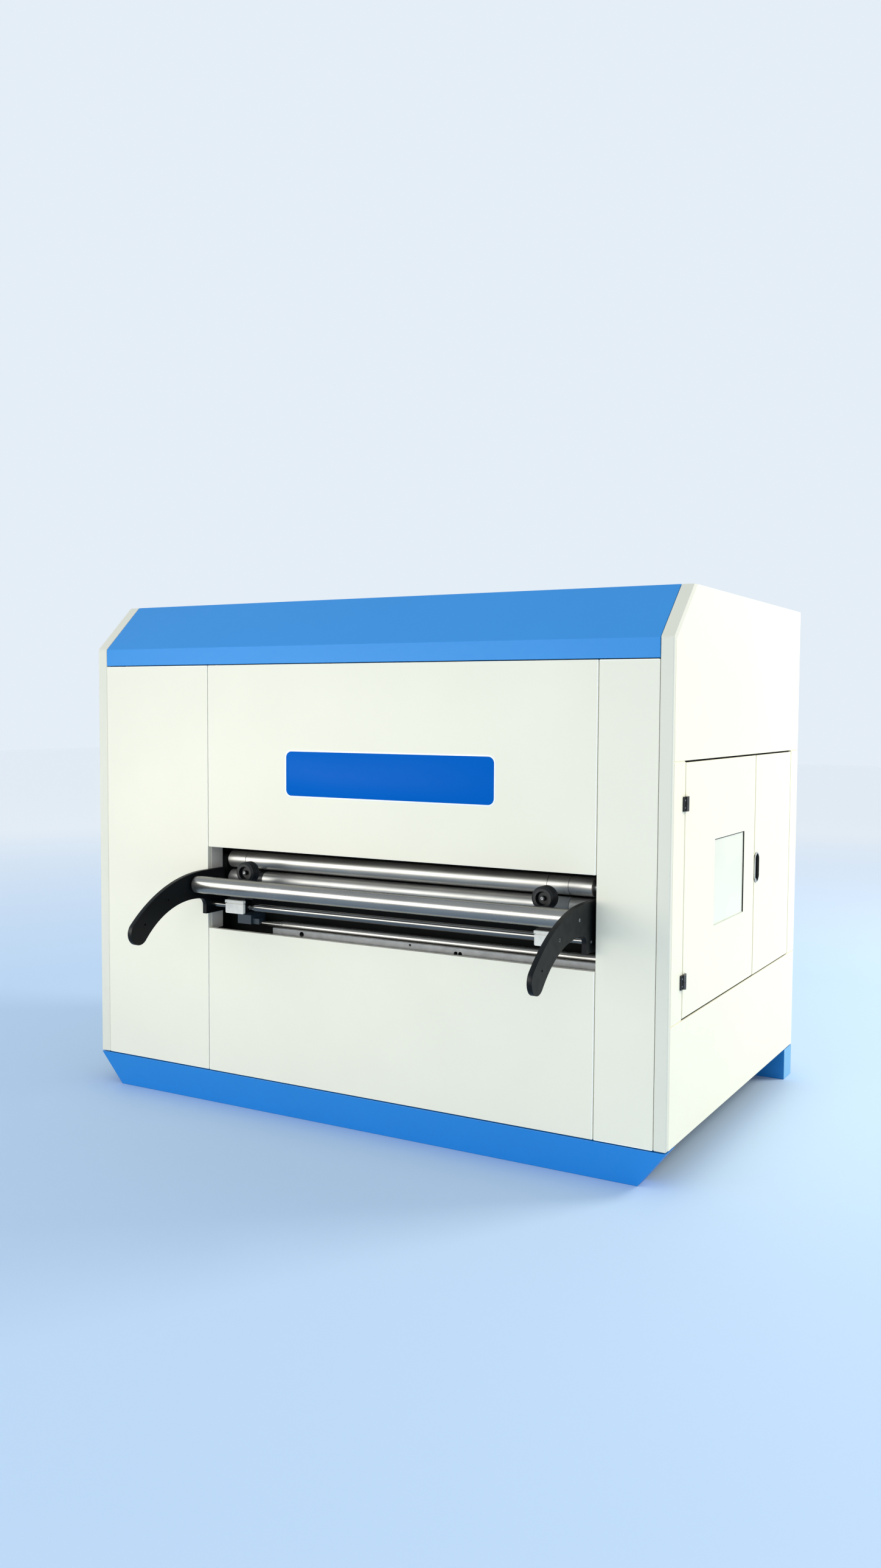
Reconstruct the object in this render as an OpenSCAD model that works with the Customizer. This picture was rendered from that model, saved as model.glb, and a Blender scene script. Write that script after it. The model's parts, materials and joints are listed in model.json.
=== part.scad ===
// Sheet straightening machine: a panelled cabinet on a blue base, with driven pinch rollers
// in an entry and an exit aperture, curved infeed arms, and a service compartment behind
// two doors on the right side. Millimetres, +X right, +Y to the rear, +Z up. The origin is
// on the floor at the middle of the cabinet's footprint. Inside the modules Y is counted
// from the cabinet's front face.

/* [Cabinet] */
// Width across the side panels
width = 2250; // [2150:10:2400]
// Depth from the front face to the rear face
depth = 1450; // [1400:10:1600]
// Height of the roof above the floor
height = 1805; // [1760:5:1900]
// Height where the hood's slope begins
bend_z = 1638; // [1610:2:1680]
// How far back the hood's slope reaches
slope_d = 175; // [120:5:220]
// Lower edge of the blue hood
hood_z = 1578; // [1540:2:1590]
// Thickness of the cabinet's folded panels
panel_t = 20; // [16:1:24]
// Width of the side panels' front flanges, outside to inside
flange_w = 41; // [34:1:50]
// Gap between fixed panels
seam = 3; // [2:0.5:4]

/* [Base] */
// Height of the plinth and of the rear beam
plinth_h = 116; // [100:2:130]
// Depth of the front plinth
plinth_d = 80; // [60:5:110]
// Depth of the rear beam
beam_d = 101; // [80:1:120]
// How far each end of the plinth is cut back at the floor
plinth_cut = 92; // [60:2:120]

/* [Aperture] */
// Middle of the roll gap, across the cabinet
mid_x = 145; // [120:5:160]
// Clear width of the aperture
mouth_w = 1494; // [1480:2:1500]
// Lower edge of the aperture
mouth_z0 = 636; // [620:2:640]
// Upper edge of the aperture
mouth_z1 = 929; // [925:1:940]

/* [Rollers] */
// Radius of the pinch and guide rollers
roll_r = 30; // [28:0.5:30]
// Length of a pinch roller's barrel
pinch_len = 1420; // [1400:2:1424]
// Distance of the pinch rollers behind the face
pinch_y = 100; // [98:1:110]
// Height of the lower pinch roller's axis
pinch_z = 811; // [808:1:812]
// Gap between the two pinch rollers
pinch_gap = 7; // [6:0.5:8]
// Distance of the front guide roller before the face
guide_y = 100; // [95:1:110]
// Height of the front guide roller's axis
guide_z = 807; // [804:1:808]

/* [Doors] */
// Front edge of the front door
door_y0 = 121; // [115:1:130]
// Seam between the two doors
door_y1 = 874; // [860:2:890]
// Rear edge of the rear door
door_y2 = 1350; // [1340:1:1356]
// Lower edge of the doors
door_z0 = 493; // [480:1:510]
// Upper edge of the doors
door_z1 = 1273; // [1260:1:1290]
// Thickness of a door leaf
leaf_t = 16; // [15:0.5:17]

/* [Hidden] */
$fn = 64;

side_x = width / 2;
skin_x = side_x - panel_t;
flange_x = side_x - flange_w;
mouth_x0 = mid_x - mouth_w / 2;
mouth_x1 = mid_x + mouth_w / 2;
slope_a = atan2(slope_d, height - bend_z);
panel_z = plinth_h + 4;
deck_t = 20;
deck_z = plinth_h + deck_t;
roof_y = slope_d + panel_t / cos(slope_a) + seam;

jamb_t = 12;
jamb_d = 81;
post = 40;
stand_t = 60;
stand_x0 = mouth_x0 - jamb_t;
stand_x1 = mouth_x1 + jamb_t;
stand_h = 1150;
run_fit = 0.06;
edge = 2.5;
groove = 1.5;
bed_y = pinch_y + 45;
bed_wall = 50;
bed_foot = 75;
bed_z0 = 560;
bed_z1 = 1110;

shaft_r = 14;
pinch_off = 4;
pinch_x = mid_x - pinch_off;
groove_x = 630;
band_x = 557;
pinch_upper_z = pinch_z + 2 * roll_r + pinch_gap;
guide_shaft_r = 10;
work_r = 40;
work_pitch = 96;
work_count = 11;
slot_z0 = pinch_z + 27;
slot_z1 = pinch_upper_z - 16;
cap_r = 36;
cap_t = 9;
boss_r = 18;
boss_t = 32;

arm_t = 16;
arm_gap = 10;
arm_x0 = mouth_x0 + arm_gap;
arm_x1 = mouth_x1 - arm_gap - arm_t;
guide_gap = 5;
guide_over = 14;
guide_len = arm_x1 - arm_x0 - arm_t - 2 * guide_gap;

rod_y = -8;
rod_z = 728;
rod_r = 14;
rod_end_r = 9.5;
rod_step_x = -400;
rod_taper = 20;
block_off = 600;
block_w = 80;
block_t = 11;
carrier_top = 757;
knob_xs = [-401, 737];
knob_z = 853;
knob_r = 37;
knob_len = 42;
support_y = 85;
support_z = 657;
support_x = -430;
support_r = 15;
support_taper = 105;
bar_x = -348;

gap_v = 8;
gap_h = 6;
frame_x = side_x - 46;
frame_out = 26;
lip = 22;
lip_gap = 10;
hinge_r = 6;
hinge_pin_r = 3;
hinge_h = 44;
hinge_in = 7;
hinge_out = 23;
hinge_zs = [588, 1125];
pivot_in = 8;
pivot_end = 10;
pivot_r = 4;
skin_t = 4;
pane_t = 5;
rim_w = 24;
win_rim = 18;
win_y0 = 420;
win_y1 = 748;
win_z0 = 736;
win_z1 = 1015;
handle_y = 898.5;
handle_z0 = 822;
handle_z1 = 928;
handle_w = 50;
lever_y = handle_y + 9;
lever_w = 20;

// ---------------------------------------------------------------- helpers
module from_front() translate([0, -depth / 2, 0]) children();
module block(lo, hi) translate(lo) cube(hi - lo);
// A (Y, Z) outline given its thickness along X, from x onwards
module along_x(x, t) translate([x, 0, 0]) rotate([90, 0, 90]) linear_extrude(t) children();
// A (X, Z) outline given its thickness along Y, from y onwards
module along_y(y, t) translate([0, y + t, 0]) rotate([90, 0, 0]) linear_extrude(t) children();
module rod_x(x, y, z, r, len) translate([x, y, z]) rotate([0, 90, 0]) cylinder(r = r, h = len);
module mirrored() mirror([1, 0, 0]) children();
// Upright (Y, Z) outline with round ends, w wide, about y
module stadium(y, w, z0, z1) {
    for (z = [z0 + w / 2, z1 - w / 2]) translate([y, z]) circle(w / 2);
    translate([y - w / 2, z0 + w / 2]) square([w, z1 - z0 - w]);
}

// Folded sheet that follows the front face from z0 upwards and leans back over the slope
module bent_sheet(z0, t) polygon([
    [0, z0], [0, bend_z], [slope_d, height], [slope_d + t / cos(slope_a), height],
    [t, bend_z - t * tan(slope_a / 2)], [t, z0]]);

// Outline of the cabinet's side between two heights, from behind the corner flange
module side_outline(z0, z1) intersection() {
    polygon([[panel_t, 0], [panel_t, bend_z - panel_t * tan(slope_a / 2)],
        [slope_d + panel_t / cos(slope_a), height], [depth, height], [depth, 0]]);
    translate([0, z0]) square([depth, z1 - z0]);
}

// ---------------------------------------------------------------- base
module front_plinth() color("#2c80d6") from_front() intersection() {
    along_x(-side_x, width)
        polygon([[0, plinth_h], [10, 0], [plinth_d, 0], [plinth_d, plinth_h]]);
    along_y(0, plinth_d) polygon([
        [-side_x, plinth_h], [-side_x + plinth_cut, 0],
        [side_x - plinth_cut, 0], [side_x, plinth_h]]);
}
module rear_beam() color("#2c80d6") from_front()
    block([-side_x, depth - beam_d, 0], [side_x, depth, plinth_h]);
module base_rails() color("#3a4148") from_front() for (x = [-900, 0, 900])
    block([x - 50, plinth_d, 0], [x + 50, depth - beam_d, plinth_h]);
module base_deck() color("#3a4148") from_front()
    block([-skin_x, panel_t, plinth_h], [skin_x, depth - panel_t, deck_z]);
module frame_posts() color("#3a4148") from_front()
    for (x = [-flange_x, stand_x0 - post, stand_x1, flange_x - post]) {
        block([x, panel_t, deck_z], [x + post, panel_t + post, bend_z - post]);
        block([x, depth - panel_t - post, deck_z], [x + post, depth - panel_t, height - panel_t]);
    }

// ---------------------------------------------------------------- side panels
module upper_side() from_front()
    along_x(skin_x, panel_t) side_outline(door_z1 + gap_h / 2, height);
module lower_side() from_front()
    along_x(skin_x, panel_t) side_outline(panel_z, door_z0 - gap_h / 2);
// A panel between the upper and the lower side panel
module side_cover(y0, y1) from_front()
    block([skin_x, y0, door_z0 - gap_h / 2 + seam], [side_x, y1, door_z1 + gap_h / 2 - seam]);
// Corner flange in one piece from the plinth up over the slope
module flange() from_front() along_x(flange_x, flange_w) bent_sheet(panel_z, panel_t);

module right_upper_side() color("#f6f7ea") upper_side();
module right_lower_side() color("#f6f7ea") lower_side();
module right_front_strip() color("#f6f7ea") side_cover(panel_t, door_y0 - gap_v / 2);
module right_rear_strip() color("#f6f7ea") side_cover(door_y2 + gap_v / 2, depth);
module left_upper_side() color("#f6f7ea") mirrored() upper_side();
module left_lower_side() color("#f6f7ea") mirrored() lower_side();
module left_front_strip() color("#f6f7ea") mirrored() side_cover(panel_t, door_y0 - seam / 2);
module left_rear_strip() color("#f6f7ea") mirrored() side_cover(door_y2 + seam / 2, depth);
module left_front_cover() color("#f6f7ea") mirrored()
    side_cover(door_y0 + seam / 2, door_y1 - seam / 2);
module left_rear_cover() color("#f6f7ea") mirrored()
    side_cover(door_y1 + seam / 2, door_y2 - seam / 2);
module left_flange() color("#dcded8") mirrored() flange();
module right_flange() color("#dcded8") flange();

// ---------------------------------------------------------------- front, hood and roof
module face_panel(x0, x1, z0, z1) from_front()
    block([x0 + seam / 2, 0, z0], [x1 - seam / 2, panel_t, z1]);
module front_left_panel() color("#eceee8")
    face_panel(-flange_x, mouth_x0, panel_z, hood_z - seam);
module front_right_panel() color("#eceee8")
    face_panel(mouth_x1, flange_x, panel_z, hood_z - seam);
module front_upper_panel() color("#eceee8")
    face_panel(mouth_x0, mouth_x1, mouth_z1, hood_z - seam);
module front_lower_panel() color("#eceee8")
    face_panel(mouth_x0, mouth_x1, panel_z, mouth_z0);
module hood() color("#4a96e2") from_front()
    along_x(-flange_x + seam / 2, 2 * flange_x - seam) bent_sheet(hood_z, panel_t);
module roof() color("#eceee8") from_front()
    block([-skin_x, roof_y, height - panel_t], [skin_x, depth - panel_t, height]);

// ---------------------------------------------------------------- rear panels
module rear_panel(x0, x1, z0, z1) from_front()
    block([x0 + seam / 2, depth - panel_t, z0], [x1 - seam / 2, depth, z1]);
module rear_left_panel() color("#eceee8") rear_panel(-skin_x, mouth_x0, panel_z, height);
module rear_right_panel() color("#eceee8") rear_panel(mouth_x1, skin_x, panel_z, height);
module rear_upper_panel() color("#eceee8") rear_panel(mouth_x0, mouth_x1, mouth_z1, height);
module rear_lower_panel() color("#eceee8") rear_panel(mouth_x0, mouth_x1, panel_z, mouth_z0);

// ---------------------------------------------------------------- roll housing
module jamb_plates() color("#c9ccc6") from_front()
    for (x = [stand_x0, mouth_x1], y = [panel_t, depth - jamb_d])
        block([x, y, mouth_z0 - 6], [x + jamb_t, y + jamb_d - panel_t, mouth_z1 + 6]);

// Stand with an oblong boss on its inner face round each pair of pinch roller bores
module roll_stand(x, boss_x) from_front() difference() {
    union() {
        block([x, panel_t + post, deck_z], [x + stand_t, depth - panel_t - post, stand_h]);
        for (y = [pinch_y, depth - pinch_y])
            along_x(boss_x, boss_t) stadium(y, 2 * boss_r, pinch_z - boss_r, pinch_upper_z + boss_r);
    }
    for (y = [pinch_y, depth - pinch_y], z = [pinch_z, pinch_upper_z])
        rod_x(min(x, boss_x) - 1, y, z, shaft_r + run_fit, stand_t + boss_t + 2);
}
module left_roll_stand() color("#23282b") roll_stand(stand_x0 - stand_t, stand_x0);
module right_roll_stand() color("#23282b") roll_stand(stand_x1, stand_x1 - boss_t);

// Housing between the roll stands, with a trough for the work rolls between z0 and z1
module housing(z0, z1) difference() {
    block([stand_x0, bed_y, z0], [stand_x1, depth - bed_y, z1]);
    children();
}
module trough(z0, z1)
    block([stand_x0 - 1, bed_y + bed_wall, z0], [stand_x1 + 1, depth - bed_y - bed_wall, z1]);
module upper_roll_housing() color("#23282b") from_front() housing(slot_z1, bed_z1)
    trough(slot_z1 - 1, slot_z1 + work_r + 30);
module lower_roll_housing() color("#23282b") from_front() {
    housing(bed_z0, slot_z0) trough(slot_z0 - work_r - 41, slot_z0 + 1);
    block([stand_x0, bed_y + bed_foot, deck_z], [stand_x1, depth - bed_y - bed_foot, bed_z0]);
}

// A row of plain work rolls from stand to stand, centred on the middle of the cabinet
module work_rolls(count, z) for (i = [0 : count - 1])
    rod_x(stand_x0, depth / 2 + (i - (count - 1) / 2) * work_pitch, z, work_r,
        stand_x1 - stand_x0);
module upper_work_rolls() color("#b9bdbf") from_front()
    work_rolls(work_count - 1, pinch_upper_z - roll_r + work_r);
module lower_work_rolls() color("#b9bdbf") from_front()
    work_rolls(work_count, pinch_z + roll_r - work_r);

// Oblong caps over each pair of pinch roller shafts, on the outer faces of the stands
module bearing_caps() color("#8d9291") from_front()
    for (y = [pinch_y, depth - pinch_y], x = [stand_x0 - stand_t - cap_t, stand_x1 + stand_t])
        along_x(x, cap_t) stadium(y, 2 * cap_r, pinch_z - cap_r, pinch_upper_z + cap_r);

// ---------------------------------------------------------------- rollers
// Barrel with fine grooves and broken edges, and a shaft out of both ends
module roller(len, r, shaft, over, grooves) rotate([0, 90, 0]) rotate_extrude()
    polygon(concat(
        [[0, -len / 2 - over], [shaft, -len / 2 - over], [shaft, -len / 2],
            [r - edge, -len / 2], [r, -len / 2 + edge]],
        [for (g = grooves) each [[r, g - groove], [r - groove, g - groove],
            [r - groove, g + groove], [r, g + groove]]],
        [[r, len / 2 - edge], [r - edge, len / 2],
            [shaft, len / 2], [shaft, len / 2 + over], [0, len / 2 + over]]));

pinch_over = (stand_x1 - stand_x0 - pinch_len) / 2 + stand_t - pinch_off - 5;
module pinch_roller(y, z) from_front() translate([pinch_x, y, z])
    roller(pinch_len, roll_r, shaft_r, pinch_over, [-groove_x, band_x, groove_x]);
module upper_pinch_roller() color("#b9bdbf") pinch_roller(pinch_y, pinch_upper_z);
module lower_pinch_roller() color("#b9bdbf") pinch_roller(pinch_y, pinch_z);
module front_guide_roller() color("#b9bdbf") from_front() translate([mid_x, -guide_y, guide_z])
    roller(guide_len, roll_r, guide_shaft_r, guide_over, []);
module exit_rollers() color("#b9bdbf") for (z = [pinch_z, pinch_upper_z])
    pinch_roller(depth - pinch_y, z);

// ---------------------------------------------------------------- infeed arms
// The arm is a crescent between two arcs, given as [y, z] centres and radii. Its round tip
// touches both arcs, and a fillet leads the inner arc into the upright leg.
arm_outer = [-46, 326];
arm_outer_r = 525;
arm_inner = [-112, 436];
arm_inner_r = 320;
arm_tip_r = 40.5;
arm_fillet = 28;
arm_leg_y = -42;
arm_leg_z = 695;
arm_back = 60;
arm_holes = [[-239, 769], [-355, 701]];
arm_hole_r = 4;
arm_bore = 11;

// The point at distance ra from a and rb from b, on the left of the way from a to b
function meeting(a, ra, b, rb) =
    let (d = norm(b - a), u = (b - a) / d, t = (ra * ra - rb * rb + d * d) / (2 * d))
    a + u * t + [-u[1], u[0]] * sqrt(ra * ra - t * t);
arm_tip = meeting(arm_outer, arm_outer_r - arm_tip_r, arm_inner, arm_inner_r + arm_tip_r);
fillet_y = arm_leg_y - arm_fillet;
fillet_at = [fillet_y, arm_inner[1]
    + sqrt(pow(arm_inner_r - arm_fillet, 2) - pow(fillet_y - arm_inner[0], 2))];
arm_top = arm_outer[1] + arm_outer_r;

module arm_outline() {
    difference() {
        intersection() {
            translate(arm_outer) circle(arm_outer_r, $fn = 180);
            polygon([[arm_leg_y, arm_inner[1]], arm_inner, arm_tip,
                arm_outer + (arm_tip - arm_outer) * 1.3, [arm_leg_y, arm_top + 200]]);
        }
        translate(arm_inner) circle(arm_inner_r, $fn = 180);
    }
    translate(arm_tip) circle(arm_tip_r);
    translate([arm_leg_y, arm_leg_z]) square([arm_back - arm_leg_y, arm_top - arm_leg_z]);
    difference() {
        polygon([fillet_at, fillet_at + (fillet_at - arm_inner) * 0.2,
            [arm_leg_y, arm_top - 40], [arm_leg_y, fillet_at[1]]]);
        translate(fillet_at) circle(arm_fillet);
    }
}
// Arm with a spacer against the jamb on one side and a blind bore for the roller on the other
module arm(x, inward) from_front() difference() {
    union() {
        along_x(x, arm_t) arm_outline();
        block([inward > 0 ? x - arm_gap : x + arm_t, panel_t + 2, 715],
            [inward > 0 ? x : x + arm_t + arm_gap, arm_back - 2, 835]);
    }
    rod_x(inward > 0 ? x + arm_t - arm_bore : x - 1, -guide_y, guide_z,
        guide_shaft_r + run_fit, arm_bore + 1);
    for (h = arm_holes) rod_x(x - 1, h[0], h[1], arm_hole_r, arm_t + 2);
}
module left_arm() color("#23282b") arm(arm_x0, 1);
module right_arm() color("#23282b") arm(arm_x1, -1);

// ---------------------------------------------------------------- side guides
// A rod between the arms: thin ends, and a thicker part that begins in a taper
module guide_rod() color("#b9bdbf") from_front() {
    thick_x0 = rod_step_x + rod_taper;
    thick_x1 = mid_x + block_off - block_w / 2;
    rod_x(arm_x0 + arm_t, rod_y, rod_z, rod_end_r, arm_x1 - arm_x0 - arm_t);
    rod_x(thick_x0, rod_y, rod_z, rod_r, thick_x1 - thick_x0);
    translate([rod_step_x, rod_y, rod_z]) rotate([0, 90, 0])
        cylinder(r1 = rod_end_r, r2 = rod_r, h = rod_taper);
}
block_y = rod_y - 28;
module at_blocks() for (s = [-1, 1])
    translate([mid_x + s * block_off - block_w / 2, 0, 0]) children();
// Cover plates with a lip along the top, a shadow groove below it and rounded foot corners
module guide_blocks() color("#efeee6") from_front() at_blocks() {
    along_y(block_y, block_t) {
        translate([1, 709]) square([block_w - 2, 30]);
        translate([5, 705]) square([block_w - 10, 5]);
        for (x = [5, block_w - 5]) translate([x, 709]) circle(4);
    }
    block([4, block_y + 3, 738], [block_w - 4, block_y + block_t, 743]);
    block([0, block_y - 2, 742], [block_w, block_y + block_t, 751]);
}
// Carriers behind the cover plates, which slide on the rod and hold the knobs
module guide_carriers() color("#23282b") from_front() at_blocks() difference() {
    block([2, block_y + block_t, 707], [block_w - 2, rod_y + 22, carrier_top]);
    rod_x(-1, rod_y, rod_z, rod_end_r + 0.05, block_w + 2);
}
// Ribbed knobs with a dished face and a hub, each on a bracket that stands on its carrier
module guide_knobs() color("#1b1e20") from_front() for (i = [0, 1]) {
    carrier_x = mid_x + (2 * i - 1) * block_off;
    knob_x = knob_xs[i];
    translate([knob_x, rod_y, knob_z]) rotate([90, 0, 0]) rotate_extrude() polygon(concat(
        [[0, 0], [knob_r - 4, 0]],
        [for (rib = [0 : 3]) each [[knob_r - 1, 1.5 + 9.5 * rib], [knob_r, 3 + 9.5 * rib],
            [knob_r, 7 + 9.5 * rib], [knob_r - 1, 8.5 + 9.5 * rib], [knob_r - 3, 9.7 + 9.5 * rib]]],
        [[knob_r - 4, knob_len - 2], [knob_r - 7, knob_len], [22, knob_len],
            [18, knob_len - 12], [8.5, knob_len - 12], [7.5, knob_len - 1], [0, knob_len - 1]]));
    block([knob_x - 14, rod_y, carrier_top], [knob_x + 14, rod_y + 10, knob_z + 14]);
    block([min(carrier_x - 30, knob_x - 14), rod_y - 12, carrier_top],
        [max(carrier_x + 30, knob_x + 14), rod_y + 18, carrier_top + 12]);
}

// ---------------------------------------------------------------- lower support roll
// The roll narrows to a journal, which the bearing block on the lower housing holds
module support_roll() color("#b9bdbf") from_front() {
    rod_x(support_x + support_taper, support_y, support_z, support_r,
        mouth_x1 - support_x - support_taper);
    translate([support_x, support_y, support_z]) rotate([0, 90, 0])
        cylinder(r1 = support_r / 3, r2 = support_r, h = support_taper);
}
module roll_bearing_block() color("#46525c") from_front() {
    block([support_x - 87, 60, 652], [support_x - 27, bed_y, 685]);
    block([support_x - 27, support_y - 13, 652], [support_x, support_y + 13, 672]);
}
module cross_bar() color("#8d9291") from_front() difference() {
    union() {
        block([bar_x, 45, 575], [mouth_x1, 60, 652]);
        block([bar_x, 45, 575], [mouth_x1, bed_y, 587]);
    }
    for (h = [[-224, 640, 9], [215, 645, 4], [388, 634, 7], [404, 634, 7]])
        translate([h[0], 61, h[1]]) rotate([90, 0, 0]) cylinder(r = h[2], h = 17);
}

// ---------------------------------------------------------------- doors
// Rebated frame behind both doors, with a post between them
module door_frame() color("#e4e6dc") from_front() difference() {
    block([frame_x, door_y0 - frame_out, door_z0 - frame_out],
        [skin_x, door_y2 + frame_out, door_z1 + frame_out]);
    for (y = [[door_y0 + lip, door_y1 - lip], [door_y1 + lip, door_y2 - lip]])
        block([frame_x - 1, y[0], door_z0 + lip], [skin_x + 1, y[1], door_z1 - lip]);
    block([side_x - leaf_t - lip_gap, door_y0 - gap_v, door_z0 - gap_h],
        [skin_x + 1, door_y2 + gap_v, door_z1 + gap_h]);
}
hinge_x = side_x + hinge_r;
leaf_z0 = door_z0 + gap_h / 2;
leaf_z1 = door_z1 - gap_h / 2;
// Outer skin of a door, and the rim of folded channel behind its edges
module skin(y0, y1) block([side_x - skin_t, y0, leaf_z0], [side_x, y1, leaf_z1]);
module ring(y0, y1, z0, z1, w) difference() {
    block([side_x - leaf_t, y0, z0], [side_x - skin_t, y1, z1]);
    block([side_x - leaf_t - 1, y0 + w, z0 + w], [side_x, y1 - w, z1 - w]);
}
module front_door() color("#f6f7ea") from_front() difference() {
    skin(door_y0 + gap_v / 2, door_y1 - gap_v / 2);
    block([side_x - skin_t - 1, win_y0, win_z0], [side_x + 1, win_y1, win_z1]);
}
module front_door_rims() color("#e4e6dc") from_front() {
    ring(door_y0 + gap_v / 2, door_y1 - gap_v / 2, leaf_z0, leaf_z1, rim_w);
    ring(win_y0 - win_rim, win_y1 + win_rim, win_z0 - win_rim, win_z1 + win_rim, win_rim);
}
module door_window() color("#c4d0c6") from_front()
    block([side_x - skin_t - pane_t, win_y0, win_z0], [side_x - skin_t, win_y1, win_z1]);

// One half of a butt hinge: side is -1 for the plate on the cabinet, +1 for the door's
module hinge_half(z0, side) {
    y = door_y0;
    half = hinge_h / 2 - 0.5;
    k0 = side < 0 ? z0 : z0 + hinge_h - half;
    difference() {
        union() {
            translate([hinge_x, y, k0]) cylinder(r = hinge_r, h = half);
            block([side_x, side < 0 ? y - hinge_out : y + hinge_in, z0],
                [side_x + 5, side < 0 ? y - hinge_in : y + hinge_out, z0 + hinge_h]);
            block([side_x + 1, side < 0 ? y - hinge_in : y, k0],
                [side_x + 5, side < 0 ? y : y + hinge_in, k0 + half]);
        }
        if (side > 0) translate([hinge_x, y, k0 - 1])
            cylinder(r = hinge_pin_r + run_fit, h = half - 3);
    }
    if (side < 0) translate([hinge_x, y, k0 + half - 1]) cylinder(r = hinge_pin_r, h = 16);
}
module hinge_leaves() color("#1b1e20") from_front() for (z = hinge_zs) hinge_half(z, 1);
module hinge_plates() color("#1b1e20") from_front() for (z = hinge_zs) hinge_half(z, -1);

// ---------------------------------------------------------------- rear door
pivot_x = side_x - pivot_in;
pivot_y = door_y2 - gap_v / 2 - pivot_end;
module rear_door() color("#f6f7ea") from_front() difference() {
    union() {
        skin(door_y1 + gap_v / 2, door_y2 - gap_v / 2);
        ring(door_y1 + gap_v / 2, door_y2 - gap_v / 2, leaf_z0, leaf_z1, rim_w);
    }
    for (z = [leaf_z0 - 1, leaf_z1 - 15])
        translate([pivot_x, pivot_y, z]) cylinder(r = pivot_r + run_fit, h = 16);
}
module pivot_pins() color("#8d9291") from_front() {
    translate([pivot_x, pivot_y, door_z0 - gap_h / 2]) cylinder(r = pivot_r, h = gap_h + 13);
    translate([pivot_x, pivot_y, door_z1 - gap_h / 2 - 13]) cylinder(r = pivot_r, h = gap_h + 13);
}
module door_handle() color("#c8ccce") from_front() {
    difference() {
        along_x(side_x, 4) stadium(handle_y, handle_w, handle_z0, handle_z1);
        along_x(side_x + 1, 4) stadium(handle_y, handle_w - 8, handle_z0 + 4, handle_z1 - 4);
    }
    along_x(side_x + 1, 2) stadium(lever_y, lever_w, handle_z0 + 12, handle_z1 - 12);
}

front_plinth();
rear_beam();
base_rails();
base_deck();
frame_posts();
right_upper_side();
right_lower_side();
right_front_strip();
right_rear_strip();
left_upper_side();
left_lower_side();
left_front_strip();
left_rear_strip();
left_front_cover();
left_rear_cover();
left_flange();
right_flange();
front_left_panel();
front_right_panel();
front_upper_panel();
front_lower_panel();
hood();
roof();
rear_left_panel();
rear_right_panel();
rear_upper_panel();
rear_lower_panel();
jamb_plates();
left_roll_stand();
right_roll_stand();
upper_roll_housing();
lower_roll_housing();
upper_work_rolls();
lower_work_rolls();
bearing_caps();
upper_pinch_roller();
lower_pinch_roller();
front_guide_roller();
exit_rollers();
left_arm();
right_arm();
guide_rod();
guide_blocks();
guide_carriers();
guide_knobs();
support_roll();
roll_bearing_block();
cross_bar();
door_frame();
front_door();
front_door_rims();
door_window();
hinge_leaves();
hinge_plates();
rear_door();
door_handle();
pivot_pins();
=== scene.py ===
import json
import math

import bmesh
import bpy
from mathutils import Matrix, Vector


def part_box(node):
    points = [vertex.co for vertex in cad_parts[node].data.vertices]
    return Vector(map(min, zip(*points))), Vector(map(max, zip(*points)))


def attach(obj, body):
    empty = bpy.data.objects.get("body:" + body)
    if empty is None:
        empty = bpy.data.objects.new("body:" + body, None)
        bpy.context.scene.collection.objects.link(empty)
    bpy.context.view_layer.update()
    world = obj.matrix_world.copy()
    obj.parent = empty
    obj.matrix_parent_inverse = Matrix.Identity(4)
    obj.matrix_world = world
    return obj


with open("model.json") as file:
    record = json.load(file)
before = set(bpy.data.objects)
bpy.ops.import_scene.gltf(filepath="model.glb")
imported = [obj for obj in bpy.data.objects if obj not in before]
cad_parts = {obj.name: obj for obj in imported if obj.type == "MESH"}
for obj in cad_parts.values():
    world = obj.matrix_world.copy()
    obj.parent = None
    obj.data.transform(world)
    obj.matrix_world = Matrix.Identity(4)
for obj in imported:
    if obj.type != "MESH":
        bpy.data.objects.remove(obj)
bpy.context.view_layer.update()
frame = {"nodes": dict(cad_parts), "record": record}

nodes = frame["nodes"]
MM = 0.001
CABINET = "cabinet"

HINGE_HEIGHT = 44 * MM
HINGE_PLATE_THICKNESS = 5 * MM
KNOB_RADIUS = 37 * MM
KNOB_PLACES = {"left": -401 * MM, "right": 737 * MM}
SLEEVE_ENDS = (698 * MM, 771 * MM)
RING_ENDS = (-440 * MM, -416 * MM)
ARM_SPACER = 10 * MM
SHARP = math.radians(35)
LOOKS_ALONG = 0.9
RUNS_ALONG = 0.99


# ---------------------------------------------------------------- camera and studio
CAMERA_AT = Vector((2.3602, -4.2658, 1.4255))
CAMERA_YAW = math.radians(-29.549)
CAMERA_PITCH = math.radians(-3.371)
CAMERA_ROLL = math.radians(-0.336)
CAMERA_LENS = 29.27
SENSOR_WIDTH = 36
VIEW_REACH = 200
SKY_COLOUR = (0.84, 0.92, 1.0)
SKY_STRENGTH = 0.93
FLOOR_SIZE = 60


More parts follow.
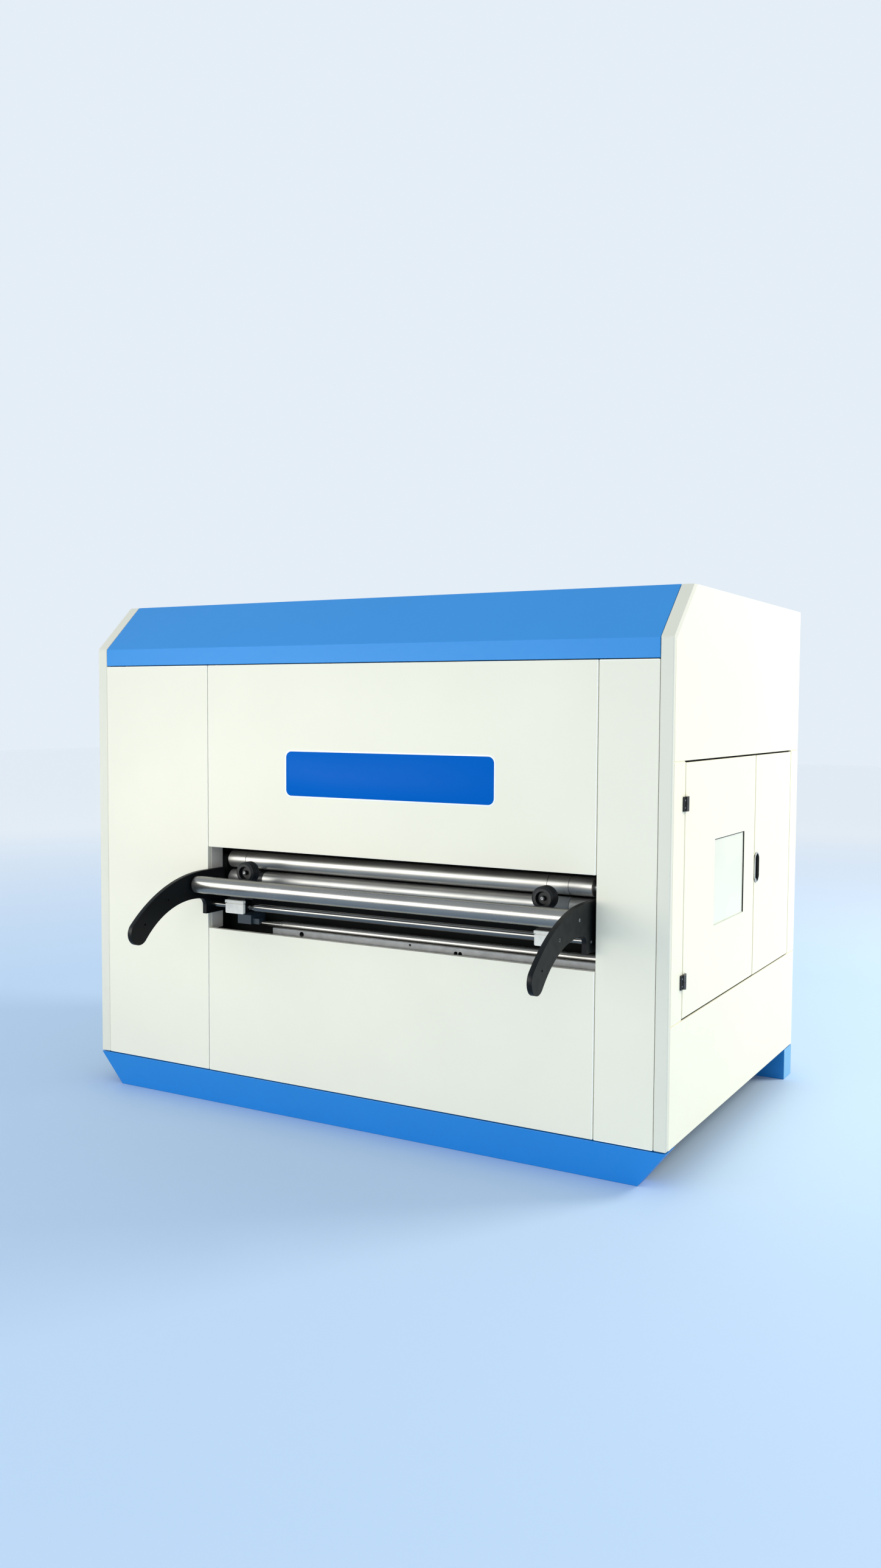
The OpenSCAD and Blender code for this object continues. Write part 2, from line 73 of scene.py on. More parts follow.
def add_camera():
    """Camera that looks at the machine from its right front corner."""
    forward = Vector((math.sin(CAMERA_YAW) * math.cos(CAMERA_PITCH),
                      math.cos(CAMERA_YAW) * math.cos(CAMERA_PITCH),
                      math.sin(CAMERA_PITCH)))
    level = Vector((math.cos(CAMERA_YAW), -math.sin(CAMERA_YAW), 0))
    down = -level.cross(forward)
    right = level * math.cos(CAMERA_ROLL) + down * math.sin(CAMERA_ROLL)
    down = down * math.cos(CAMERA_ROLL) - level * math.sin(CAMERA_ROLL)
    camera = bpy.data.objects.new("camera", bpy.data.cameras.new("camera"))
    bpy.context.scene.collection.objects.link(camera)
    turn = Matrix((right, -down, -forward)).transposed().to_4x4()
    camera.matrix_world = Matrix.Translation(CAMERA_AT) @ turn
    camera.data.lens = CAMERA_LENS
    camera.data.sensor_width = SENSOR_WIDTH
    camera.data.clip_end = VIEW_REACH
    bpy.context.scene.camera = camera


def add_soft_box(name, place, target, size, power, colour, gloss_only=False):
    """Soft box of the given width and height, aimed at a point and not seen itself."""
    lamp = bpy.data.lights.new(name, "AREA")
    lamp.shape = "RECTANGLE"
    lamp.size, lamp.size_y = size
    lamp.energy = power
    lamp.color = colour
    light = bpy.data.objects.new(name, lamp)
    bpy.context.scene.collection.objects.link(light)
    aim = (Vector(target) - Vector(place)).to_track_quat("-Z", "Y")
    light.matrix_world = Matrix.Translation(place) @ aim.to_matrix().to_4x4()
    light.visible_camera = False
    light.visible_diffuse = not gloss_only
    return light


def keep_off(light, ground):
    """Keeps a low box from throwing a pool of light on the floor beside it."""
    spared = bpy.data.collections.new(light.name + "_spares")
    spared.objects.link(ground)
    spared.collection_objects[0].light_linking.link_state = "EXCLUDE"
    light.light_linking.receiver_collection = spared


def add_studio():
    """Floor with painted shade round the machine, an even pale sky, a key light, front boxes
    and one for the steel's gloss.
    """
    scene = bpy.context.scene
    scene.view_settings.view_transform = "Standard"
    world = bpy.data.worlds.new("studio")
    scene.world = world
    world.use_nodes = True
    sky = world.node_tree.nodes["Background"]
    sky.inputs["Color"].default_value = (*SKY_COLOUR, 1)
    sky.inputs["Strength"].default_value = SKY_STRENGTH
    add_soft_box("key_box", place=(4.8, 3.5, 4.2), target=(0.4, -0.7, 0.4),
                 size=(2.2, 2.2), power=250, colour=(1.0, 0.92, 0.78))
    front_box = add_soft_box("front_box", place=(-0.6, -2.9, 1.0), target=(0.7, -0.7, 0.9),
                             size=(2.8, 0.8), power=23, colour=(1.0, 0.93, 0.80))
    low_box = add_soft_box("low_box", place=(1.9, -3.0, 0.3), target=(0.7, -0.7, 0.3),
                           size=(1.5, 0.5), power=4, colour=(0.82, 0.95, 1.0))
    add_soft_box("gloss_box", place=(-1.2, -2.9, 1.5), target=(0.1, -0.8, 0.8),
                 size=(2.8, 1.3), power=60, colour=(1.0, 1.0, 0.98), gloss_only=True)
    deselect()
    bpy.ops.mesh.primitive_plane_add(size=FLOOR_SIZE, location=(0, 0, 0))
    floor = bpy.context.object
    floor.name = "floor"
    floor.data.materials.append(pale_floor())
    keep_off(front_box, floor)
    keep_off(low_box, floor)


# ---------------------------------------------------------------- materials
NOISE_SPAN = (0.3, 0.7)


def new_material(name):
    """New material and its shader."""
    made = bpy.data.materials.new(name)
    made.use_nodes = True
    return made, made.node_tree.nodes["Principled BSDF"]


def noise(made, scale, detail=2.0, stretch=(1, 1, 1)):
    """Noise on object coordinates; scale is in lumps to the metre, stretched by axis."""
    tree = made.node_tree
    where = tree.nodes.new("ShaderNodeTexCoord")
    mapping = tree.nodes.new("ShaderNodeMapping")
    mapping.inputs["Scale"].default_value = stretch
    texture = tree.nodes.new("ShaderNodeTexNoise")
    texture.inputs["Scale"].default_value = scale
    texture.inputs["Detail"].default_value = detail
    tree.links.new(where.outputs["Object"], mapping.inputs["Vector"])
    tree.links.new(mapping.outputs["Vector"], texture.inputs["Vector"])
    return texture.outputs["Fac"]


def vary_colour(made, shader, fac, low, high, span=NOISE_SPAN):
    """Base colour that drifts between two tones with a pattern."""
    ramp = made.node_tree.nodes.new("ShaderNodeValToRGB")
    for stop, place, tint in zip(ramp.color_ramp.elements, span, (low, high)):
        stop.position = place
        stop.color = (*tint, 1)
    made.node_tree.links.new(fac, ramp.inputs["Fac"])
    made.node_tree.links.new(ramp.outputs["Color"], shader.inputs["Base Color"])


def vary_roughness(made, shader, fac, middle, spread):
    """Roughness that drifts about its middle value with a pattern."""
    span = made.node_tree.nodes.new("ShaderNodeMapRange")
    least, most = NOISE_SPAN
    span.inputs["From Min"].default_value = least
    span.inputs["From Max"].default_value = most
    span.inputs["To Min"].default_value = middle - spread
    span.inputs["To Max"].default_value = middle + spread
    made.node_tree.links.new(fac, span.inputs["Value"])
    made.node_tree.links.new(span.outputs["Result"], shader.inputs["Roughness"])


def add_relief(made, shader, fac, depth):
    """Surface relief of the given depth in metres."""
    bump = made.node_tree.nodes.new("ShaderNodeBump")
    bump.inputs["Distance"].default_value = depth
    made.node_tree.links.new(fac, bump.inputs["Height"])
    made.node_tree.links.new(bump.outputs["Normal"], shader.inputs["Normal"])


def tone(colour, factor):
    """Colour made darker or lighter by a factor."""
    return tuple(c * factor for c in colour)


def powder_coat(name, colour, roughness, drift=0.015, grain=0.00006, gloss=0.4):
    """Oven-cured powder coat: a fine orange peel and a barely uneven tone."""
    made, shader = new_material(name)
    shader.inputs["Specular IOR Level"].default_value = gloss
    vary_colour(made, shader, noise(made, 3.0, 3.0), tone(colour, 1 - drift),
                tone(colour, 1 + drift))
    vary_roughness(made, shader, noise(made, 40.0), roughness, 0.04)
    add_relief(made, shader, noise(made, 620.0, 1.0), grain)
    return made


def ground_steel(name, colour, roughness, metallic=0.85):
    """Steel ground between centres: satin, slightly clouded, with fine rings round X."""
    made, shader = new_material(name)
    shader.inputs["Metallic"].default_value = metallic
    clouds = noise(made, 9.0, 4.0, (0.5, 1, 1))
    vary_colour(made, shader, clouds, tone(colour, 0.90), tone(colour, 1.08))
    vary_roughness(made, shader, noise(made, 16.0, 4.0, (0.5, 1, 1)), roughness, 0.05)
    add_relief(made, shader, noise(made, 900.0, 1.0, (1, 0.02, 0.02)), 0.000002)
    return made


def drawn_steel(name, colour, roughness):
    """Drawn or milled steel with a faint uneven sheen along X."""
    made, shader = new_material(name)
    shader.inputs["Metallic"].default_value = 1.0
    vary_colour(made, shader, noise(made, 25.0, 4.0), tone(colour, 0.85), tone(colour, 1.1))
    vary_roughness(made, shader, noise(made, 90.0), roughness, 0.05)
    add_relief(made, shader, noise(made, 700.0, 2.0, (0.05, 1, 1)), 0.00002)
    return made


def moulded_nylon(name, colour, roughness, gloss=0.4):
    """Moulded nylon with a fine sparked grain."""
    made, shader = new_material(name)
    shader.inputs["Specular IOR Level"].default_value = gloss
    vary_colour(made, shader, noise(made, 60.0, 3.0), tone(colour, 0.94), tone(colour, 1.05))
    vary_roughness(made, shader, noise(made, 120.0), roughness, 0.05)
    add_relief(made, shader, noise(made, 1400.0), 0.00003)
    return made


def pale_floor():
    """Floor painted a darker pale blue round the machine, painted shade, fading to the
    studio's white.
    """
    made, shader = new_material("pale_floor")
    reach, near_painted_shade_blue, far_white = 11.0, (0.53, 0.69, 0.89), (0.97, 0.975, 0.98)
    tree = made.node_tree
    where = tree.nodes.new("ShaderNodeTexCoord")
    mapping = tree.nodes.new("ShaderNodeMapping")
    mapping.inputs["Scale"].default_value = (1 / reach, 1 / reach, 1)
    fade = tree.nodes.new("ShaderNodeTexGradient")
    fade.gradient_type = "SPHERICAL"
    tree.links.new(where.outputs["Object"], mapping.inputs["Vector"])
    tree.links.new(mapping.outputs["Vector"], fade.inputs["Vector"])
    vary_colour(made, shader, fade.outputs["Fac"], far_white, near_painted_shade_blue, (0.0, 0.75))
    vary_roughness(made, shader, noise(made, 0.8), 0.6, 0.05)
    shader.inputs["Specular IOR Level"].default_value = 0.2
    return made


def milky_pane():
    """Milky polycarbonate that lets a little of the dark inside through."""
    made, shader = new_material("milky_pane")
    vary_colour(made, shader, noise(made, 5.0), (0.88, 0.875, 0.72), (0.92, 0.905, 0.755))
    vary_roughness(made, shader, noise(made, 8.0), 0.16, 0.03)
    shader.inputs["Transmission Weight"].default_value = 0.06
    return made


FINISHES = {
    "side_paint": powder_coat("cream_side_coat", (0.955, 0.90, 0.705), 0.42),
    "ivory_paint": powder_coat("ivory_front_coat", (0.862, 0.825, 0.685), 0.42, gloss=0.05),
    # The corner flanges take the side panels' white in a darker tone: painted shade on the
    # corner's front.
    "flange_paint": powder_coat("corner_flange_coat", (0.775, 0.75, 0.635), 0.40, gloss=0.02),
    "blue_paint": powder_coat("blue_hood_coat", (0.045, 0.285, 0.69), 0.38, gloss=0.10),
    "frame_paint": powder_coat("black_frame_coat", (0.005, 0.006, 0.006), 0.7,
                               drift=0.1, gloss=0.06),
    "jamb_paint": powder_coat("jamb_coat", (0.72, 0.68, 0.62), 0.45),
    "arm_paint": powder_coat("arm_coat", (0.003, 0.004, 0.005), 0.42, drift=0.08,
                             grain=0.00012, gloss=0.14),
    "slate_paint": powder_coat("slate_coat", (0.025, 0.042, 0.060), 0.45, drift=0.08),
    "roll_steel": ground_steel("ground_roll_steel", (0.25, 0.245, 0.23), 0.27),
    "bar_steel": drawn_steel("drawn_bar_steel", (0.22, 0.228, 0.235), 0.42),
    "block_plastic": moulded_nylon("cream_nylon", (0.78, 0.75, 0.68), 0.40),
    "black_plastic": moulded_nylon("black_nylon", (0.005, 0.006, 0.007), 0.34, 0.25),
    "window_glass": milky_pane(),
    "chrome": drawn_steel("bright_chrome", (0.62, 0.63, 0.64), 0.18),
}
BASE_BLUE = powder_coat("blue_base_coat", (0.003, 0.215, 0.63), 0.38, gloss=0.5)
# Paler copy of the base blue for the rear beam's end faces: painted light from the key.
LIT_BEAM_END_BLUE = powder_coat("blue_beam_coat", (0.17, 0.46, 0.73), 0.38, gloss=0.5)
PLATE_BLUE = powder_coat("blue_plate_enamel", (0.0003, 0.116, 0.505), 0.35, gloss=0.02)
PLATE_WHITE = powder_coat("white_plate_enamel", (0.99, 0.985, 0.93), 0.35)
PINCH_STEEL = ground_steel("satin_pinch_roll_steel", (0.36, 0.355, 0.335), 0.42)
ROD_STEEL = ground_steel("dark_rod_steel", (0.15, 0.15, 0.145), 0.20, 1.0)
HINGE_STEEL = drawn_steel("hinge_knuckle_steel", (0.11, 0.105, 0.10), 0.30)
SCREW_STEEL = drawn_steel("zinc_screw_steel", (0.36, 0.38, 0.40), 0.36)
RUBBER = moulded_nylon("grey_rubber", (0.20, 0.21, 0.21), 0.6)
# Black rubber used where it paints shade: seams above and below the doors, the window's upper
# and rear edges, the ring round the handle and its pull.
SHADE_BLACK_RUBBER = moulded_nylon("black_seal_rubber", (0.006, 0.006, 0.006), 0.8, 0.04)
# Pale edging for the window's lower and front edges: painted light where those edges are lit.
LIT_WINDOW_EDGE = moulded_nylon("pale_gasket_rubber", (0.60, 0.66, 0.58), 0.6, 0.1)
OWN_FINISHES = {"front_plinth": BASE_BLUE, "rear_beam": BASE_BLUE, "guide_rod": ROD_STEEL,
                "upper_pinch_roller": PINCH_STEEL, "lower_pinch_roller": PINCH_STEEL}


def paint_nodes():
    """Gives every carried-over node the finish of its record slot, or its own."""
    for part in frame["record"]["subparts"]:
        finish = OWN_FINISHES.get(part["node"], FINISHES[part["material_slot"]])
        piece = nodes[part["node"]]
        piece.data.materials.clear()
        piece.data.materials.append(finish)


def paint_lit_beam_ends():
    """The end faces of the rear beam carry a paler blue coat: painted light where the key
    light falls on them, while the rest of the beam keeps the base blue.
    """
    mesh = nodes["rear_beam"].data
    mesh.materials.append(LIT_BEAM_END_BLUE)
    for face in mesh.polygons:
        if is_end(face):
            face.material_index = 1


def bare_knuckles():
    """The rolled knuckles of the hinges are bare steel where they stand past their plates."""
    plate_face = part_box("front_door")[1].x + HINGE_PLATE_THICKNESS + 0.2 * MM
    for name in ("hinge_leaves", "hinge_plates"):
        mesh = nodes[name].data
        mesh.materials.append(HINGE_STEEL)
        for face in mesh.polygons:
            if face.center.x > plate_face:
                face.material_index = 1


# Lighter coats for rounded edges: painted highlights along the panels' and arms' edges.
EDGE_HIGHLIGHT_FINISHES = {
    "ivory_paint": powder_coat("ivory_edge_coat", (0.99, 0.975, 0.88), 0.35),
    "arm_paint": powder_coat("arm_edge_coat", (0.022, 0.024, 0.026), 0.35, gloss=0.5),
}


def soften(node, width, segments=3, edge=None):
    """Rounds a node's sharp edges, as folded and machined edges are; given an edge finish, the
    rounds take a lighter coat that paints a highlight along them.
    """
    piece = nodes[node]
    weld = piece.modifiers.new("weld", "WELD")
    weld.merge_threshold = 0.01 * MM
    bevel = piece.modifiers.new("bevel", "BEVEL")
    bevel.width = width
    bevel.segments = segments
    bevel.limit_method = "ANGLE"
    bevel.angle_limit = SHARP
    bevel.harden_normals = True
    if edge:
        piece.data.materials.append(EDGE_HIGHLIGHT_FINISHES[edge])
        bevel.material = 1


def soften_nodes():
    """Folded sheets and covers, then machined blocks, flanges and arms."""
    folded = ("_side", "_strip", "_cover", "_door", "_beam", "_plinth")
    fold, panel_fold, block_edge, flange_edge, arm_edge = (
        1.5 * MM, 2.5 * MM, 0.8 * MM, 4 * MM, 2.0 * MM)
    for name in nodes:
        if name.endswith(folded) or name in ("hood", "roof"):
            soften(name, fold)
        # Panels and arms get a lighter coat on their rounds: painted edge highlight.
        if name.endswith("_panel"):
            soften(name, panel_fold, edge="ivory_paint")
    for name in ("guide_blocks", "roll_bearing_block", "jamb_plates"):
        soften(name, block_edge, 2)
    for name in ("left_flange", "right_flange"):
        soften(name, flange_edge, 4)
    for name in ("left_arm", "right_arm"):
        soften(name, arm_edge, edge="arm_paint")


# ---------------------------------------------------------------- ways of shaping pieces
def deselect():
    """Leaves nothing selected."""
    bpy.ops.object.select_all(action="DESELECT")


def settle(name):
    """Names the new piece and puts its place into its mesh."""
    piece = bpy.context.object
    piece.name = name
    bpy.ops.object.transform_apply(location=True, rotation=True, scale=True)
    return piece


def new_block(name, low, high):
    """Block between two corners."""
    low, high = Vector(low), Vector(high)
    deselect()
    bpy.ops.mesh.primitive_cube_add(size=1, location=(low + high) / 2)
    bpy.context.object.scale = high - low
    return settle(name)


ALONG = {"X": (0, math.pi / 2, 0), "Y": (math.pi / 2, 0, 0), "Z": (0, 0, 0)}


def new_disc(name, centre, axis, radius, depth, sides=32):
    """Round piece about an axis; depth is its length along that axis."""
    deselect()
    bpy.ops.mesh.primitive_cylinder_add(vertices=sides, radius=radius, depth=depth,
                                        location=centre, rotation=ALONG[axis])
    return settle(name)


def pick(piece, kind, test):
    """In edit mode, selects only the faces or edges that pass a test."""
    bpy.ops.mesh.select_mode(type={"faces": "FACE", "edges": "EDGE"}[kind])
    bpy.ops.mesh.select_all(action="DESELECT")
    mesh = bmesh.from_edit_mesh(piece.data)
    for item in getattr(mesh, kind):
        item.select_set(bool(test(item)))
    bmesh.update_edit_mesh(piece.data)


def runs_along(edge, axis):
    """True for an edge that runs along the axis X, Y or Z."""
    way = (edge.verts[1].co - edge.verts[0].co).normalized()
    return abs(way["XYZ".index(axis)]) > RUNS_ALONG


def faces_way(face, way):
    """True for a face that looks along a direction."""
    return face.normal.dot(Vector(way)) > LOOKS_ALONG


def is_end(face):
    """True for a face at either end of a piece that lies along X."""
    return abs(face.normal.x) > LOOKS_ALONG


def edit(piece):
    """Opens a piece in edit mode."""
    deselect()
    piece.select_set(True)
    bpy.context.view_layer.objects.active = piece
    bpy.ops.object.mode_set(mode="EDIT")


def chamfer(rim, rise, way):
    """In edit mode, insets the picked face by a rim and moves it out along a direction."""
    bpy.ops.mesh.inset(thickness=rim, depth=0)
    bpy.ops.transform.translate(value=tuple(Vector(way) * rise))


def done(piece, finish, body):
    """Leaves edit mode, shades the piece, paints it and lets it ride on its body."""
    if bpy.context.mode == "EDIT_MESH":
        bpy.ops.object.mode_set(mode="OBJECT")
    deselect()
    piece.select_set(True)
    bpy.context.view_layer.objects.active = piece
    bpy.ops.object.shade_smooth_by_angle(angle=SHARP)
    piece.data.materials.clear()
    piece.data.materials.append(finish)
    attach(piece, body)
    return piece


def soft_strip(name, low, high, edge, finish):
    """Strip along Y on the cabinet, with rounded long edges."""
    strip = new_block(name, low, high)
    edit(strip)
    pick(strip, "edges", lambda e: runs_along(e, "Y"))
    bpy.ops.mesh.bevel(offset=edge, segments=2, affect="EDGES")
    return done(strip, finish, CABINET)


def arm_faces():
    """Each arm's side, the X of its outer face and the way that face looks."""
    return (("left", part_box("left_arm")[0].x + ARM_SPACER, -1),
            ("right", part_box("right_arm")[1].x - ARM_SPACER, 1))


# ---------------------------------------------------------------- pieces
def rounded_plate(name, width, height, level, back, front, corner, finish):
    """Flat plate with round corners on the upper front panel, its face chamfered."""
    low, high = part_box("front_upper_panel")
    middle, rim, rise = (low.x + high.x) / 2, 0.6 * MM, 0.4 * MM
    piece = new_block(name, (middle - width / 2, low.y - front, level - height / 2),
                      (middle + width / 2, low.y - back, level + height / 2))
    edit(piece)
    pick(piece, "edges", lambda e: runs_along(e, "Y"))
    bpy.ops.mesh.bevel(offset=corner, segments=10, affect="EDGES")
    pick(piece, "faces", lambda f: faces_way(f, (0, -1, 0)))
    chamfer(rim, rise, (0, -1, 0))
    return done(piece, finish, CABINET)


def blank_plate():
    """Bare blue plate with a thin white border, on the upper front panel."""
    width, height, level, border = 806 * MM, 157 * MM, 1201.5 * MM, 5 * MM
    rounded_plate("plate_border", width + border, height + border, level, back=-1 * MM,
                  front=0.8 * MM, corner=25 * MM, finish=PLATE_WHITE)
    rounded_plate("blank_plate", width - border, height - border, level, back=0.6 * MM,
                  front=1.6 * MM, corner=21 * MM, finish=PLATE_BLUE)


def shape_screw():
    """Button-head screw of radius 1 with a round socket; it faces +X from the origin."""
    thickness, shoulder, crown, land, taper, depth = 0.6, 0.35, 0.12, 0.25, 0.04, 0.3
    piece = new_disc("screw_pattern", (0, 0, 0), "X", 1.0, thickness, 24)
    edit(piece)
    pick(piece, "faces", lambda f: faces_way(f, (1, 0, 0)) and len(f.verts) > 4)
    chamfer(shoulder, crown, (1, 0, 0))
    bpy.ops.mesh.inset(thickness=land, depth=0)
    bpy.ops.mesh.inset(thickness=taper, depth=-depth)
    bpy.ops.object.mode_set(mode="OBJECT")
    return piece


def put_screw(pattern, name, centre, out, radius, finish, body):
    """Copy of the screw with its own mesh, turned to face out, with its foot in the wall."""
    piece = pattern.copy()
    piece.data = pattern.data.copy()
    piece.name = name
    bpy.context.scene.collection.objects.link(piece)
    turn = Vector(out).to_track_quat("X", "Z").to_matrix().to_4x4()
    piece.data.transform(Matrix.Translation(centre) @ turn @ Matrix.Scale(radius, 4))
    return done(piece, finish, body)


def arm_screws(pattern):
    """Screws on the arms' outer faces, at the ends of the guide roller and the rod."""
    for side, x, way in arm_faces():
        for end, node, radius in (("axle", "front_guide_roller", 5.5 * MM),
                                  ("rod", "guide_rod", 4.5 * MM)):
            low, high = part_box(node)
            place = (x, (low.y + high.y) / 2, (low.z + high.z) / 2)
            put_screw(pattern, side + "_" + end + "_screw", place, (way, 0, 0), radius,
                      SCREW_STEEL, CABINET)


def hinge_screws(pattern):
    """Two screws in each plate of the two hinges."""
    from_edge, from_end, radius = 7.5 * MM, 0.24 * HINGE_HEIGHT, 2.6 * MM
    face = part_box("front_door")[1].x + HINGE_PLATE_THICKNESS
    low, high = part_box("hinge_plates")
    leaf_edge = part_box("hinge_leaves")[1].y
    for node, body, y in (("hinge_plates", CABINET, low.y + from_edge),
                          ("hinge_leaves", "front_door", leaf_edge - from_edge)):
        for hinge, bottom in (("lower", low.z), ("upper", high.z - HINGE_HEIGHT)):
            for row, up in (("a", from_end), ("b", HINGE_HEIGHT - from_end)):
                put_screw(pattern, "_".join((node, hinge, "screw", row)),
                          (face, y, bottom + up), (1, 0, 0), radius, SCREW_STEEL, body)


def cover_screws(pattern):
    """A screw near each corner of the plain covers on the left side."""
    inset, radius = 28 * MM, 6 * MM
    for cover in ("left_front_cover", "left_rear_cover"):
        low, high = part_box(cover)
        for i, y in enumerate((low.y + inset, high.y - inset)):
            for j, z in enumerate((low.z + inset, high.z - inset)):
                put_screw(pattern, cover + "_screw_" + str(2 * i + j), (low.x, y, z),
                          (-1, 0, 0), radius, SCREW_STEEL, CABINET)


def screws():
    """Every screw, copied from one pattern."""
    pattern = shape_screw()
    arm_screws(pattern)
    hinge_screws(pattern)
    cover_screws(pattern)
    bpy.data.objects.remove(pattern)


def hole_glint_rings():
    """Thin steel ring round the upper hole of each arm, on its outer face; its light steel
    stands for the glint on the hole's rim, a painted highlight.
    """
    outer, inner, thickness = 4.9 * MM, 3.8 * MM, 1.2 * MM
    holes = {mount["name"]: mount["pos_m"] for mount in frame["record"]["mounts"]}
    for side, x, _ in arm_faces():
        hole = holes[side + "_arm_upper_hole"]
        ring = new_disc(side + "_hole_ferrule", (x, hole[1], hole[2]), "X", outer, thickness)
        edit(ring)
        pick(ring, "faces", is_end)
        bpy.ops.mesh.inset(thickness=outer - inner, depth=0, use_individual=True)
        bpy.ops.mesh.bridge_edge_loops()
        bpy.ops.mesh.select_all(action="SELECT")
        bpy.ops.mesh.normals_make_consistent(inside=False)
        done(ring, SCREW_STEEL, CABINET)


def oblong(name, centre, width, height, back, front):
    """Upright block with round ends between the planes back and front, its +X face picked."""
    y, z = centre
    nearly_half = 0.46
    piece = new_block(name, (back, y - width / 2, z - height / 2),
                      (front, y + width / 2, z + height / 2))
    edit(piece)
    pick(piece, "edges", lambda e: runs_along(e, "X"))
    bpy.ops.mesh.bevel(offset=width * nearly_half, segments=10, affect="EDGES")
    pick(piece, "faces", lambda f: faces_way(f, (1, 0, 0)))
    return piece


def handle_parts():
    """Black ring round the rear door's oval handle, painted shade for the shadow line round
    its bezel, and the handle's black pull, set towards the rear where the recess lies in
    shade: a real pull that also paints that shade.
    """
    low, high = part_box("door_handle")
    y, z = (low.y + high.y) / 2, (low.z + high.z) / 2
    margin, pull_shift, pull_width, pull_height = 1.5 * MM, 10 * MM, 28 * MM, 84 * MM
    shade_ring_rim, shade_ring_rise, pull_rim, pull_rise = 0.8 * MM, 0.3 * MM, 1.5 * MM, 0.8 * MM
    hollow_rim, hollow_depth = 3.0 * MM, 1.0 * MM
    shade_ring = oblong("handle_seal", (y, z), high.y - low.y + margin, high.z - low.z + margin,
                  low.x - 1 * MM, low.x + 0.2 * MM)
    chamfer(shade_ring_rim, shade_ring_rise, (1, 0, 0))
    done(shade_ring, SHADE_BLACK_RUBBER, "rear_door")
    pull = oblong("handle_pull", (y + pull_shift, z), pull_width, pull_height,
                  low.x + 0.8 * MM, high.x - 0.2 * MM)
    chamfer(pull_rim, pull_rise, (1, 0, 0))
    bpy.ops.mesh.inset(thickness=hollow_rim, depth=-hollow_depth)
    done(pull, SHADE_BLACK_RUBBER, "rear_door")


def roller_bands():
    """Grey sleeve and dark ring on the lower pinch roller."""
    low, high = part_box("lower_pinch_roller")
    y, z, radius = (low.y + high.y) / 2, (low.z + high.z) / 2, (high.z - low.z) / 2
    proud, thickness = 0.5 * MM, 1.0 * MM
    for name, (x0, x1), finish in (("roller_sleeve", SLEEVE_ENDS, RUBBER),
                                   ("roller_ring", RING_ENDS, FINISHES["black_plastic"])):
        band = new_disc(name, ((x0 + x1) / 2, y, z), "X", radius + proud, x1 - x0, 64)
        edit(band)
        pick(band, "faces", is_end)
        bpy.ops.mesh.delete(type="FACE")
        bpy.ops.mesh.select_mode(type="EDGE")
        bpy.ops.mesh.select_all(action="SELECT")
        bpy.ops.object.mode_set(mode="OBJECT")
        wall = band.modifiers.new("wall", "SOLIDIFY")
        wall.thickness = thickness
        wall.offset = -1
        bpy.ops.object.modifier_apply(modifier="wall")
        done(band, finish, "lower_pinch_roller")


def knob_hubs():
    """Small steel caps on the hubs of the two knobs."""
    low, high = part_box("guide_knobs")
    radius, length, rim, rise, dish = 5 * MM, 4 * MM, 1.2 * MM, 0.4 * MM, 0.8 * MM
    z = high.z - KNOB_RADIUS
    for side, x in KNOB_PLACES.items():
        hub = new_disc(side + "_knob_hub", (x, low.y + length / 2, z), "Y", radius, length,
                       28)
        edit(hub)
        pick(hub, "faces", lambda f: faces_way(f, (0, -1, 0)))
        chamfer(rim, rise, (0, -1, 0))
        bpy.ops.mesh.inset(thickness=rim, depth=-dish)
        done(hub, FINISHES["bar_steel"], CABINET)


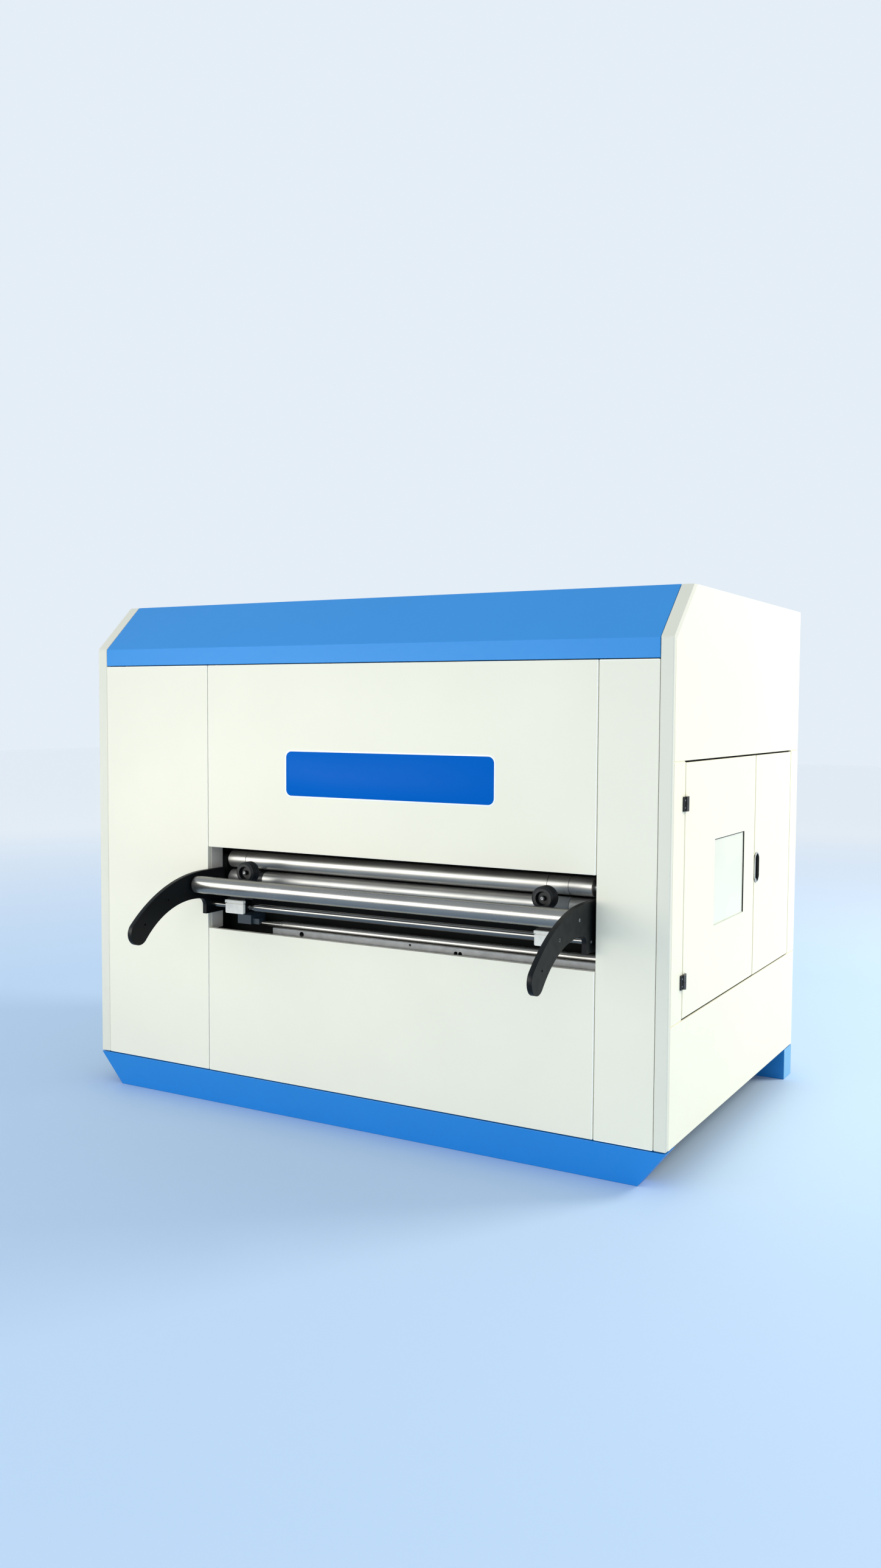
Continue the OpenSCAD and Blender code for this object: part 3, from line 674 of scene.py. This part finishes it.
def door_seam_shade_strips():
    """Black strips under the upper side panel and on the lower one, clear of the doors:
    painted shade in the seams above and below the doors.
    """
    set_in, deep, lap = 4.5 * MM, 14 * MM, 0.5 * MM
    top_drop, bottom_rise, edge = 4.5 * MM, 1.2 * MM, 0.4 * MM
    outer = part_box("right_upper_side")[1].x - set_in
    back = outer - deep
    front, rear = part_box("front_door")[0].y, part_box("rear_door")[1].y
    top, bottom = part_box("right_upper_side")[0].z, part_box("right_lower_side")[1].z
    for name, low, high in (("top_door_seal", top - top_drop, top + lap),
                            ("bottom_door_seal", bottom - lap, bottom + bottom_rise)):
        soft_strip(name, (back, front, low), (outer, rear, high), edge, SHADE_BLACK_RUBBER)


def seam_backings():
    """Folded lips behind the seams above and below the right side's front and rear strips."""
    lap, set_in, deep, edge = 1 * MM, 2.5 * MM, 15 * MM, 0.5 * MM
    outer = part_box("right_upper_side")[1].x - set_in
    top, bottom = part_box("right_upper_side")[0].z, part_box("right_lower_side")[1].z
    for side in ("front", "rear"):
        low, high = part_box("right_" + side + "_strip")
        for end, z0, z1 in (("top", high.z - lap, top + lap),
                            ("bottom", bottom - lap, low.z + lap)):
            soft_strip(side + "_strip_" + end + "_lip", (outer - deep, low.y + lap, z0),
                       (outer, high.y - lap, z1), edge, FINISHES["side_paint"])


def window_edge_shade_and_light():
    """Edging round the front door's pane, black above and behind where the recess throws its
    shade, pale below and in front where the edges are lit: painted shade and painted light.
    """
    low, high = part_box("door_window")
    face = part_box("front_door")[1].x
    wide, thin, set_in, rim, rise = 2.2 * MM, 1.8 * MM, 1 * MM, 0.6 * MM, 0.5 * MM
    outer = face - set_in
    strips = (
        ("rear", (high.y - wide, low.z), (high.y, high.z), SHADE_BLACK_RUBBER, "black_plastic"),
        ("top", (low.y, high.z - thin), (high.y - wide, high.z), SHADE_BLACK_RUBBER,
         "black_plastic"),
        ("bottom", (low.y, low.z), (high.y - wide, low.z + thin), LIT_WINDOW_EDGE, None),
        ("front", (low.y, low.z + thin), (low.y + thin, high.z - thin), LIT_WINDOW_EDGE, None),
    )
    for side, (y0, z0), (y1, z1), finish, slot in strips:
        strip = new_block("window_seal_" + side, (high.x, y0, z0), (outer, y1, z1))
        edit(strip)
        pick(strip, "faces", lambda f: faces_way(f, (1, 0, 0)))
        chamfer(rim, rise, (1, 0, 0))
        done(strip, finish, "front_door")


add_camera()
add_studio()
paint_nodes()
soften_nodes()
paint_lit_beam_ends()
bare_knuckles()
blank_plate()
screws()
hole_glint_rings()
handle_parts()
roller_bands()
knob_hubs()
door_seam_shade_strips()
seam_backings()
window_edge_shade_and_light()
